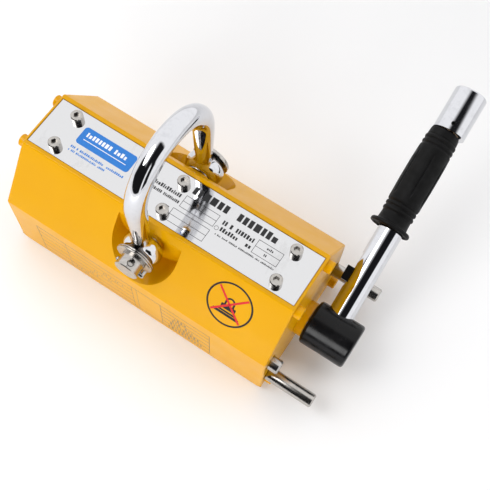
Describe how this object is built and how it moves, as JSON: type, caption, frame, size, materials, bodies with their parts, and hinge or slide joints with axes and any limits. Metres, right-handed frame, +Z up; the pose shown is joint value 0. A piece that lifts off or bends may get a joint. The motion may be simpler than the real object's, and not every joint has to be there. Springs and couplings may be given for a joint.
{
  "type": "lifting magnet",
  "caption": "Switchable permanent lifting magnet: steel block with a hand lever at one end that turns the magnet on or off, and a swinging shackle on top.",
  "frame": {"origin": "middle of the underside of the body, on the rim plane of the pole faces", "axes": "+X along the body towards the lever, +Y towards the side the lever leans to when the magnet is off, +Z up towards the shackle"},
  "size_m": [0.2554, 0.2395, 0.182],
  "materials": {
    "yellow_paint": "thick gloss yellow paint with a slight orange peel",
    "polished_plate": "mirror-polished sheet with fine scratches",
    "chrome_plate": "bright chrome plating",
    "zinc_steel": "bright zinc plating, turned",
    "black_steel": "satin black oxide",
    "black_rubber": "matt moulded rubber",
    "magnet_block": "nickel-plated sintered magnet",
    "pole_iron": "ground soft iron",
    "turned_steel": "turned steel",
    "brass_filler": "machined brass",
    "bronze_bush": "bearing bronze",
    "aluminium_filler": "machined aluminium"
  },
  "bodies": {
    "housing": {"pole_front": "yellow_paint", "pole_back": "yellow_paint", "spacer_bottom": "brass_filler", "magnet_sill": "brass_filler", "stator_magnets": "magnet_block", "spacer_top": "aluminium_filler", "cover_left": "yellow_paint", "cover_right": "yellow_paint", "cover_bolts_left": "yellow_paint", "cover_bolts_right": "yellow_paint", "nameplate": "polished_plate", "nameplate_screws": "zinc_steel", "bush_left": "bronze_bush", "bush_right": "bronze_bush", "stop_pin_front": "zinc_steel", "stop_pin_back": "zinc_steel", "safety_pin": "zinc_steel", "shackle_pin_front": "zinc_steel", "shackle_pin_back": "zinc_steel", "washers_front": "zinc_steel", "split_pin_front": "zinc_steel"},
    "rotor": {"rotor_end_left": "turned_steel", "rotor_end_right": "turned_steel", "rotor_segment_a": "pole_iron", "rotor_segment_b": "pole_iron", "rotor_magnets": "magnet_block", "rotor_fillers": "brass_filler", "rotor_screws_left": "turned_steel", "rotor_screws_right": "turned_steel", "hub": "black_steel", "hub_grub_screw": "black_steel", "lever_tube": "chrome_plate", "tube_guide_inner": "bronze_bush", "tube_guide_outer": "bronze_bush", "grip": "black_rubber", "return_spring": "zinc_steel"},
    "release": {"slide_rod": "zinc_steel", "latch_key": "black_steel", "end_cap": "chrome_plate", "roll_pin": "black_steel"},
    "shackle": {"shackle": "chrome_plate"}
  },
  "joints": [
    {"name": "rotor_turn", "type": "hinge", "parent": "housing", "child": "rotor", "pos_m": [0, 0, 0.0336], "axis": [1, 0, 0], "range_deg": [0, 160.3]},
    {"name": "release_slide", "type": "slide", "parent": "rotor", "child": "release", "axis": [-0.0192, 0.9509, 0.309], "range_m": [0, 0.012], "stiffness_N_per_m": 400, "springref_m": -0.015, "deforming": ["return_spring"]},
    {"name": "shackle_swing", "type": "hinge", "parent": "housing", "child": "shackle", "pos_m": [0, 0, 0.084], "axis": [0, 1, 0], "range_deg": [-68, 68]}
  ]
}
